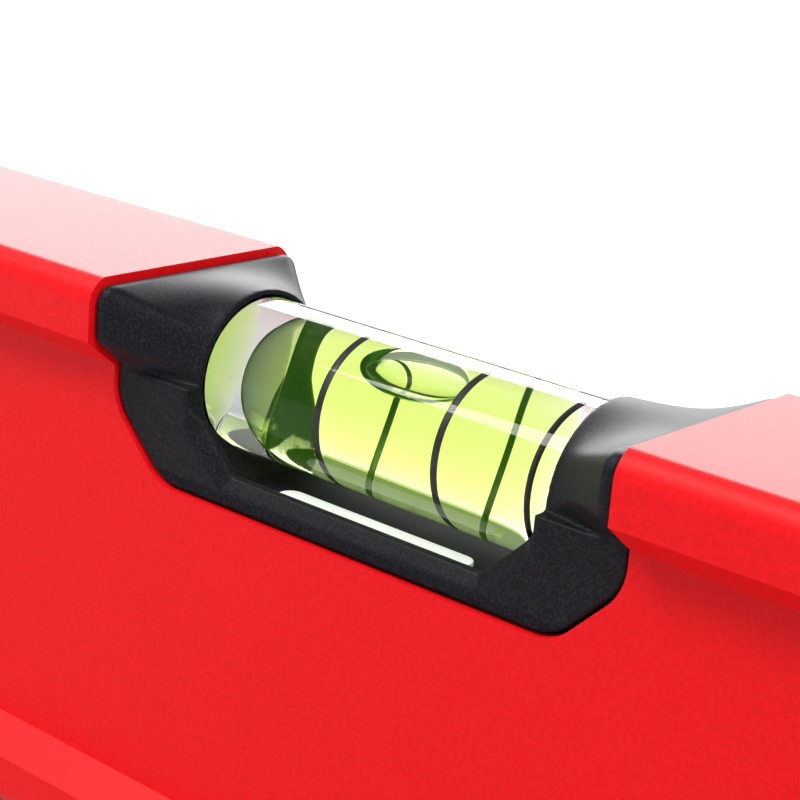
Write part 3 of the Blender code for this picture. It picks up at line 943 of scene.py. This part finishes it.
@dataclass
class LevelHousing:
    """The moulded housing that drops into the frame's pocket and holds the level vial."""

    section: RailSection
    frame: Frame
    finishes: Finishes
    axis_z: float
    gap: float = 0.3 * MM
    skin_inset: float = 0.55 * MM
    top_drop: float = 0.7 * MM
    shoulder: float = 1.1 * MM
    rim_end: float = 20.4 * MM
    rim_radius: float = 8.25 * MM
    bore_radius: float = 7.64 * MM
    blind_end: float = 26.0 * MM
    ramp_power: float = 1.15
    ramp_steps: int = 26
    ramp_points: int = 180
    ledge_z: float = 48.2 * MM
    window_floor: float = 43.8 * MM
    window_corner: float = 14.9 * MM
    tray_floor: float = 42.0 * MM
    lip_depth: float = 0.95 * MM
    lip_width: float = 1.4 * MM
    lip_wall: float = 0.8 * MM
    foot_half: float = 21.0 * MM
    foot_bottom: float = 38.0 * MM
    skin_cell: float = 0.2 * MM
    skin_passes: int = 8
    skin_keep: float = 0.35

    @property
    def face(self) -> float:
        """How far the housing's faces are from the middle plane."""
        return self.section.width / 2 - self.section.web_inset - self.gap

    def head(self) -> list[Pair]:
        """The outline of the block that meets the rail's cut end, as Y and Z."""
        top = self.section.height - self.top_drop
        half = [(y, min(z, top)) for y, z in self.section.upper_half(self.skin_inset)]
        half[-1] = (self.face - EPSILON, half[-1][1])
        half.append((self.face - EPSILON, self.ledge_z))
        return half + [(-y, z) for y, z in reversed(half)]

    def ramp(self, side: Side) -> Piece:
        """The block that runs from the rail's section down to a round rim about the vial.

        A grid is wrapped round the vial's axis, and its points are placed by the rule that blends the
        section into the rim, because no operator turns one outline into another.

        Args:
            side: The end of the vial.

        Returns:
            The block.
        """
        outline = self.head()
        start = self.frame.pocket_half - self.gap
        shoulder = start - self.shoulder
        bpy.ops.object.select_all(action="DESELECT")
        bpy.ops.mesh.primitive_grid_add(x_subdivisions=self.ramp_steps, y_subdivisions=self.ramp_points)
        piece = Piece.added("ramp")
        reaches: dict[int, float] = {}
        for vertex in piece.obj.data.vertices:
            along = round((vertex.co.x + 1) / 2 * self.ramp_steps)
            around = round((vertex.co.y + 1) / 2 * self.ramp_points) % self.ramp_points
            angle = math.tau * around / self.ramp_points
            if around not in reaches:
                reaches[around] = self.section.reach(outline, self.axis_z, angle)
            share = max(along - 1, 0) / (self.ramp_steps - 1)
            weight = (1 - share) ** self.ramp_power
            x = start if along == 0 else shoulder + (self.rim_end - shoulder) * share
            if along == self.ramp_steps:
                x -= self.gap
            reach = self.rim_radius + (reaches[around] - self.rim_radius) * weight
            vertex.co = (
                side.value * x,
                reach * math.cos(angle),
                self.axis_z + reach * math.sin(angle),
            )
        piece.pick(Kind.VERTEX, lambda spot, line: True)
        bpy.ops.mesh.remove_doubles(threshold=EPSILON)
        piece.done()
        for end in (start, self.rim_end - self.gap):
            piece.pick(
                Kind.EDGE,
                lambda middle, line, x=end: abs(abs(middle.x) - x) < EPSILON and abs(line.x) < 0.5,
            )
            bpy.ops.mesh.edge_face_add()
            piece.done()
        return piece.turned_out()

    def slab(self) -> Piece:
        """The plate under the vial, with the pocket's outline."""
        half = self.frame.pocket_half - self.gap
        floor = self.frame.pocket_floor + self.gap
        shoulder = self.frame.pocket_shoulder + self.gap * (math.sqrt(2) - 1)
        low, high = (-half, -self.face, floor), (half, self.face, self.axis_z)
        piece = Piece.box("level_housing_shell", low, high)
        for side in Side:
            piece.scored((side.value * half, 0, shoulder), (side.value, 0, -1), chop=True)
        return piece.rounded(
            lambda middle, line: abs(line.y) > 0.9 and middle.z < self.axis_z - EPSILON,
            self.frame.pocket_corner,
        )

    def opening(self, widen: float, near: float, far: float) -> Piece:
        """A tool with the window's outline.

        Args:
            widen: How much wider than the window it is all round.
            near: Its lower Y.
            far: Its higher Y.

        Returns:
            The tool.
        """
        top = self.section.height + 2 * self.top_drop
        floor = self.window_floor - widen
        half = self.rim_end
        corner = self.window_corner + widen * (math.sqrt(2) - 1)
        tool = Piece.box("window_tool", (-half, near, floor), (half, far, top))
        for side in Side:
            tool.scored((side.value * corner, 0, floor), (side.value, 0, -1), chop=True)
        return tool

    def funnel(self, face: Face) -> Piece:
        """The tool that cuts the sloping lip round the window on one face."""
        outer = self.face + self.gap
        near, far = sorted((face.value * self.face, face.value * outer))
        tool = self.opening(self.lip_width, near, far)
        return tool.sunk(
            lambda middle, normal: normal.y * face.value < -0.9,
            self.lip_width,
            self.lip_depth,
        )

    def build(self) -> Piece:
        """Models and dresses the housing."""
        piece = self.slab()
        foot_y = self.section.width / 2 - self.section.web_inset - self.section.wall - self.gap
        foot = Piece.box(
            "foot",
            (-self.foot_half, -foot_y, self.foot_bottom),
            (self.foot_half, foot_y, self.tray_floor),
        )
        piece.combined([foot, *map(self.ramp, Side)], "UNION")
        tray = self.face - self.lip_depth - self.lip_wall
        open_end = self.blind_end + self.section.width
        bore = Piece.rod("bore", self.bore_radius, -self.blind_end, open_end)
        bore.placed(Matrix.Translation((0, 0, self.axis_z)) @ Matrix.Rotation(math.pi / 2, 4, "Y"))
        tools = [
            self.opening(0.0, -self.section.width, self.section.width),
            self.opening(self.window_floor - self.tray_floor, -tray, tray),
            *map(self.funnel, Face),
            bore,
        ]
        piece.combined(tools, "DIFFERENCE")
        piece.cast(self.skin_cell, self.skin_passes, self.skin_keep)
        self.finishes.dress(piece, self.finishes.plastic)
        return piece.stands_for(Body.LEVEL, "level_housing")


@dataclass
class SightStrip:
    """A thin white strip with round ends on the housing's floor, under the level vial."""

    face: Face
    finishes: Finishes
    edge: float = 0.12 * MM

    def build(self) -> Piece:
        """Models and dresses the strip."""
        node = f"sight_strip_{self.face.label}"
        low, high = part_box(node)
        piece = Piece.box(f"white_{node}", low, high)
        piece.rounded(lambda middle, line: abs(line.z) > 0.9, (high.y - low.y) / 2.2)
        piece.softened(self.edge, 2)
        self.finishes.dress(piece, self.finishes.white)
        return piece.stands_for(Body.LEVEL, node)


@dataclass
class Vial:
    """A clear tube with a plug, a filled chamber, a bubble and two rings."""

    label: str
    finishes: Finishes
    bubble_body: Body
    placing: Matrix
    radius: float
    near_end: float
    far_end: float
    chamber_radius: float
    chamber_half: float
    ring_at: Pair
    bubble_half: Point
    bubble_rise: Vector
    chamber_extra: float = 0.0
    chamber_taper: float = 1.2 * MM
    chamber_power: float = 8.0
    chamber_rows: int = 24
    ring_width: float = 0.7 * MM
    ring_gap: float = 0.55 * MM
    ring_depth: float = 0.2 * MM
    seal_at: float = 1.0 * MM
    seal_radius: float = 0.3 * MM
    sides: int = 128
    tube_edge: float = 0.35 * MM
    ring_edge: float = 0.02 * MM
    liquid_edge: float = 0.3 * MM
    bubble_gap: float = 0.05 * MM
    bubble_cell: float = 0.09 * MM
    bubble_passes: int = 10

    def tube(self) -> Piece:
        """The clear body and plug, seen as one solid."""
        piece = Piece.rod(f"{self.label}_vial_tube", self.radius, self.near_end, self.far_end, self.sides)
        piece.softened(self.tube_edge, 4)
        piece.placed(self.placing)
        self.finishes.dress(piece, self.finishes.acrylic)
        return piece.stands_for(Body.LEVEL, f"{self.label}_vial_body", f"{self.label}_vial_plug")

    def ring(self, name: str, at: float) -> Piece:
        """A black ring that is sunk into the tube, close round its chamber."""
        low, high = at - self.ring_width / 2, at + self.ring_width / 2
        outer = self.chamber_radius + self.ring_gap + self.ring_depth
        piece = Piece.rod(f"{self.label}_mark_{name}", outer, low, high, self.sides)
        piece.pick(Kind.FACE, lambda middle, normal: abs(normal.z) > 0.9)
        bpy.ops.mesh.delete(type="FACE")
        piece.done()
        piece.modified("SOLIDIFY", thickness=self.ring_depth, offset=-1)
        piece.softened(self.ring_edge, 2)
        piece.placed(self.placing)
        self.finishes.dress(piece, self.finishes.ring)
        return piece.stands_for(Body.LEVEL, f"{self.label}_ring_{name}")

    def seal(self) -> Piece:
        """The thin rubber seal between the chamber and its plug."""
        bpy.ops.object.select_all(action="DESELECT")
        bpy.ops.mesh.primitive_torus_add(
            major_segments=96,
            minor_segments=12,
            major_radius=self.chamber_radius,
            minor_radius=self.seal_radius,
            location=(0, 0, self.chamber_half + self.seal_at),
        )
        piece = Piece.added(f"{self.label}_seal_ring").shaded(60)
        piece.placed(self.placing)
        self.finishes.dress(piece, self.finishes.rubber)
        return piece.stands_for(Body.LEVEL, f"{self.label}_plug_seal")

    def chamber(self, name: str, gap: float = 0.0) -> Piece:
        """The barrel shape of the hollow inside the tube, along Z.

        Args:
            name: The piece's name.
            gap: How far inside the hollow's wall it stays.

        Returns:
            The piece.
        """
        near, far = gap - self.chamber_half - self.chamber_extra, self.chamber_half - gap
        piece = Piece.rod(name, self.chamber_radius, near, far, self.sides)
        rows = [near + (far - near) * step / self.chamber_rows for step in range(self.chamber_rows + 1)]
        for height in rows[1:-1]:
            piece.scored((0, 0, height), (0, 0, 1))
        for height in rows:
            share = height / (near if height < 0 else far)
            taper = self.chamber_taper * share**self.chamber_power
            scale = 1 - (taper + gap) / self.chamber_radius
            piece.pick(Kind.VERTEX, lambda spot, line, z=height: abs(spot.z - z) < EPSILON)
            bpy.ops.transform.resize(value=(scale, scale, 1), center_override=(0, 0, 0))
            piece.done()
        return piece

    def liquid(self) -> Piece:
        """The liquid that fills the chamber."""
        piece = self.chamber(f"{self.label}_filling")
        piece.softened(self.liquid_edge, 4)
        piece.placed(self.placing)
        self.finishes.dress(piece, self.finishes.liquid)
        return piece.stands_for(Body.LEVEL, f"{self.label}_liquid")

    def bubble(self) -> Piece:
        """The bubble, whose crown is shaped by the chamber's wall."""
        bpy.ops.object.select_all(action="DESELECT")
        bpy.ops.mesh.primitive_uv_sphere_add(
            segments=96, ring_count=48, radius=1, location=self.bubble_rise, scale=self.bubble_half
        )
        piece = Piece.added(f"{self.label}_air")
        hollow = self.chamber("hollow", self.bubble_gap).placed(self.placing)
        piece.placed(Matrix.Translation(self.placing.translation))
        piece.combined([hollow], "INTERSECT")
        piece.cast(self.bubble_cell, self.bubble_passes)
        self.finishes.dress(piece, self.finishes.air)
        return piece.stands_for(self.bubble_body, f"{self.label}_bubble")

    def build(self) -> list[Piece]:
        """Models and dresses every piece of the vial."""
        rings = [self.ring(name, at) for name, at in zip(("far", "near"), self.ring_at)]
        return [self.tube(), *rings, self.seal(), self.liquid(), self.bubble()]


@dataclass
class PlumbHousing:
    """Two mouldings that clamp an upright vial in the web."""

    side: Side
    section: RailSection
    frame: Frame
    finishes: Finishes
    centre: Vector
    gap: float = 0.3 * MM
    split: float = 0.15 * MM
    window_half_x: float = 9.0 * MM
    window_half_z: float = 11.0 * MM
    window_chamfer: float = 3.5 * MM
    lip_width: float = 1.4 * MM
    lip_depth: float = 0.95 * MM
    bore_radius: float = 6.8 * MM
    bore_half: float = 16.8 * MM
    step_inset: float = 1.3 * MM
    step_depth: float = 0.35 * MM
    edge: float = 0.28 * MM

    def octagon(self, name: str, half_x: float, half_z: float, chamfer: float, ends: Pair) -> Piece:
        """A solid with an eight-sided outline seen from the front.

        Args:
            name: The piece's name.
            half_x: Half its width.
            half_z: Half its height.
            chamfer: How much its corners are cut.
            ends: Its two Y places.

        Returns:
            The piece.
        """
        near, far = sorted(ends)
        low = (self.centre.x - half_x, near, self.centre.z - half_z)
        high = (self.centre.x + half_x, far, self.centre.z + half_z)
        piece = Piece.box(name, low, high)
        return piece.rounded(lambda middle, line: abs(line.y) > 0.9, chamfer, 1)

    def half(self, face: Face) -> Piece:
        """One of the two mouldings."""
        sign = face.value
        outer = self.section.width / 2 - self.section.web_inset - self.gap
        piece = self.octagon(
            f"plumb_{self.side.label}_frame_{face.label}",
            self.frame.hole_half_x - self.gap,
            self.frame.hole_half_z - self.gap,
            self.frame.hole_chamfer,
            (sign * self.split, sign * outer),
        )
        piece.sunk(lambda middle, normal: normal.y * sign > 0.9, self.step_inset, -self.step_depth)
        piece.scored(self.centre, (1, 0, 0))
        piece.scored(self.centre, (0, 0, 1))
        window = (self.window_half_x, self.window_half_z, self.window_chamfer)
        wide = (
            self.window_half_x + self.lip_width,
            self.window_half_z + self.lip_width,
            self.window_chamfer + self.lip_width * (2 - math.sqrt(2)),
        )
        level = outer - self.step_depth
        lip = self.octagon("lip_tool", *wide, (sign * level, sign * (level + self.lip_depth)))
        lip.sunk(lambda middle, normal: normal.y * sign < -0.9, self.lip_width, self.lip_depth)
        bore = Piece.rod("bore", self.bore_radius, -self.bore_half, self.bore_half)
        bore.placed(Matrix.Translation(self.centre))
        hole = self.octagon("hole_tool", *window, (-self.section.width, self.section.width))
        piece.combined([hole, lip, bore], "DIFFERENCE")
        piece.softened(self.edge)
        self.finishes.dress(piece, self.finishes.plastic)
        return piece.stands_for(Body.LEVEL, f"plumb_{self.side.label}_housing_{face.label}")

    def build(self) -> list[Piece]:
        """Models and dresses both mouldings."""
        return [self.half(face) for face in Face]


@dataclass
class EndCap:
    """A hard plug in the frame's end and the rubber pad that is pegged onto it."""

    side: Side
    section: RailSection
    finishes: Finishes
    inset: float = 0.4 * MM
    spigot_gap: float = 0.3 * MM
    flange: float = 2.7 * MM
    edge: float = 0.45 * MM
    rib_count: int = 7
    rib_width: float = 2.2 * MM
    rib_pitch: float = 6.4 * MM
    rib_half: float = 6.6 * MM
    rib_depth: float = 0.7 * MM

    def span(self, near: float, far: float) -> Pair:
        """Two distances from the middle as a lower and a higher X on this side."""
        low, high = sorted((self.side.value * near, self.side.value * far))
        return low, high

    def plug(self) -> Piece:
        """The flange and the spigot that fits the extrusion."""
        node = f"end_plug_{self.side.label}"
        low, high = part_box(node)
        near, far = sorted((abs(low.x), abs(high.x)))
        piece = self.section.solid(f"hard_{node}", self.inset, *self.span(far - self.flange, far))
        inner = self.section.wall + self.spigot_gap
        spigot = self.section.solid("spigot", inner, *self.span(near, far - self.flange / 2))
        piece.combined([spigot], "UNION")
        piece.softened(self.edge / 2)
        self.finishes.dress(piece, self.finishes.plastic)
        return piece.stands_for(Body.LEVEL, node)

    def pad(self) -> Piece:
        """The rubber pad, with ribs let into its outer face."""
        node = f"end_pad_{self.side.label}"
        low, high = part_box(node)
        outer = max(abs(low.x), abs(high.x))
        inner = outer - self.flange
        piece = self.section.solid(f"ribbed_{node}", self.inset, *self.span(inner, outer))
        grooves = []
        for number in range(self.rib_count):
            z = self.section.height / 2 + (number - (self.rib_count - 1) / 2) * self.rib_pitch
            start, end = self.span(outer - self.rib_depth, outer + self.rib_depth)
            groove = Piece.box(
                "groove",
                (start, -self.rib_half, z - self.rib_width / 2),
                (end, self.rib_half, z + self.rib_width / 2),
            )
            grooves.append(
                groove.rounded(lambda middle, line: abs(line.x) > 0.9, self.rib_width / 2.1, 5)
            )
        piece.combined(grooves, "DIFFERENCE")
        piece.softened(self.edge)
        self.finishes.dress(piece, self.finishes.rubber)
        return piece.stands_for(Body.LEVEL, node)

    def build(self) -> list[Piece]:
        """Models and dresses the plug and the pad."""
        return [self.plug(), self.pad()]


# --- The studio -------------------------------------------------------------------------------


@dataclass(frozen=True)
class Softbox:
    """A soft rectangular lamp that faces the level."""

    name: str
    place: Point
    aim: Point
    size: Pair
    brightness: float
    through_glass: bool = True

    def light(self) -> None:
        """Hangs the lamp. Its power follows its size, so that its face has the brightness."""
        lamp = bpy.data.lights.new(self.name, "AREA")
        lamp.shape = "RECTANGLE"
        lamp.size, lamp.size_y = self.size
        lamp.energy = self.brightness * math.pi * self.size[0] * self.size[1]
        holder = bpy.data.objects.new(self.name, lamp)
        bpy.context.scene.collection.objects.link(holder)
        holder.location = self.place
        towards = Vector(self.aim) - Vector(self.place)
        holder.rotation_euler = towards.to_track_quat("-Z", "Y").to_euler()
        holder.visible_camera = False
        holder.visible_transmission = self.through_glass


@dataclass
class Studio:
    """The floor, the lamps, the sky and the camera."""

    floor_half: float = 6.0
    floor_drop: float = 0.02 * MM
    sky: float = 0.3
    azimuth: float = 39.79
    elevation: float = 17.30
    roll: float = 4.56
    stand: Point = (115.6 * MM, -142.1 * MM, 110.5 * MM)
    lens: float = 95.7
    lamps: tuple[Softbox, ...] = (
        Softbox("back_softbox", (-0.95, 1.15, 0.62), (0, 0, 0.05), (1.5, 0.8), 9.6, False),
        Softbox("key_softbox", (-0.62, -0.60, 1.15), (0, 0, 0.05), (0.5, 0.5), 18.0),
        Softbox("fill_softbox", (1.1, -0.35, 0.85), (0, 0, 0.05), (0.5, 0.5), 12.0),
    )

    def floor(self) -> None:
        """Lays the floor."""
        bpy.ops.object.select_all(action="DESELECT")
        bpy.ops.mesh.primitive_plane_add(size=2 * self.floor_half, location=(0, 0, -self.floor_drop))
        piece = Piece.added("studio_floor")
        piece.obj.data.materials.append(PaleFloor().material())

    def surround(self) -> None:
        """Lights the scene evenly from all round, with a white sky where the camera sees it."""
        world = bpy.data.worlds.new("studio_sky")
        bpy.context.scene.world = world
        world.use_nodes = True
        nodes, links = world.node_tree.nodes, world.node_tree.links
        nodes["Background"].inputs["Strength"].default_value = self.sky
        seen = nodes.new("ShaderNodeBackground")
        share = nodes.new("ShaderNodeMixShader")
        links.new(nodes.new("ShaderNodeLightPath").outputs["Is Camera Ray"], share.inputs[0])
        links.new(nodes["Background"].outputs[0], share.inputs[1])
        links.new(seen.outputs[0], share.inputs[2])
        links.new(share.outputs[0], nodes["World Output"].inputs["Surface"])
        for shader in (nodes["Background"], seen):
            shader.inputs["Color"].default_value = (1, 1, 1, 1)

    def camera(self) -> None:
        """Sets up the camera, which looks down the level from its right end."""
        turn, lift, tilt = (math.radians(angle) for angle in (self.azimuth, self.elevation, self.roll))
        flat = math.cos(lift)
        ahead = Vector((-math.sin(turn) * flat, math.cos(turn) * flat, -math.sin(lift)))
        level = Vector((math.cos(turn), math.sin(turn), 0))
        above = level.cross(ahead)
        right = level * math.cos(tilt) + above * math.sin(tilt)
        up = right.cross(ahead)
        data = bpy.data.cameras.new("studio_camera")
        data.lens = self.lens
        data.clip_start = 0.01
        holder = bpy.data.objects.new("studio_camera", data)
        bpy.context.scene.collection.objects.link(holder)
        turned = Matrix((right, up, -ahead)).transposed().to_4x4()
        holder.matrix_world = Matrix.Translation(self.stand) @ turned
        bpy.context.scene.camera = holder

    def build(self) -> None:
        """Sets up the whole studio."""
        self.floor()
        self.surround()
        for lamp in self.lamps:
            lamp.light()
        self.camera()
        bpy.context.scene.view_settings.view_transform = "Standard"


def middle_of(node: str) -> Vector:
    """The middle of a CAD node's box."""
    low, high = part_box(node)
    return (low + high) / 2


def level_vial(finishes: Finishes) -> Vial:
    """The horizontal vial. Its own Z runs along +X."""
    centre = middle_of("level_vial_body")
    return Vial(
        label="level",
        finishes=finishes,
        bubble_body=Body.LEVEL_BUBBLE,
        placing=Matrix.Translation(centre) @ Matrix.Rotation(math.pi / 2, 4, "Y"),
        radius=7.5 * MM,
        near_end=-20.6 * MM,
        far_end=25.6 * MM,
        chamber_radius=6.2 * MM,
        chamber_half=16.3 * MM,
        ring_at=(-6.45 * MM, 7.45 * MM),
        bubble_half=(6.0 * MM, 3.2 * MM, 1.8 * MM),
        bubble_rise=Vector((-0.7 * MM, 0, 3.9 * MM)),
        chamber_extra=2.0 * MM,
        chamber_taper=2.4 * MM,
    )


def plumb_vial(side: Side, finishes: Finishes) -> Vial:
    """An upright vial. Its own Z runs down, towards its plug."""
    centre = middle_of(f"plumb_{side.label}_vial_body")
    return Vial(
        label=f"plumb_{side.label}",
        finishes=finishes,
        bubble_body=Body[f"PLUMB_{side.name}_BUBBLE"],
        placing=Matrix.Translation(centre) @ Matrix.Rotation(math.pi, 4, "X"),
        radius=6.5 * MM,
        near_end=-16.5 * MM,
        far_end=16.5 * MM,
        chamber_radius=5.2 * MM,
        chamber_half=11.5 * MM,
        ring_at=(-4.6 * MM, 4.6 * MM),
        bubble_half=(4.3 * MM, 4.3 * MM, 3.1 * MM),
        bubble_rise=Vector((0, 0, 8.1 * MM)),
    )


def main() -> None:
    """Builds every sub-assembly in order."""
    logging.basicConfig(level=logging.INFO, format="%(message)s")
    low, high = CAD_BOX
    section = RailSection(width=high.y - low.y, height=high.z - low.z)
    finishes = Finishes()
    coated_frame = Frame(section, finishes)
    coated_frame.build([middle_of(f"plumb_{side.label}_vial_body") for side in Side])
    LevelHousing(section, coated_frame, finishes, middle_of("level_vial_body").z).build()
    for face in Face:
        SightStrip(face, finishes).build()
    level_vial(finishes).build()
    for side in Side:
        centre = middle_of(f"plumb_{side.label}_vial_body")
        PlumbHousing(side, section, coated_frame, finishes, centre).build()
        plumb_vial(side, finishes).build()
        EndCap(side, section, finishes).build()
    Studio().build()


if __name__ == "__main__":
    main()
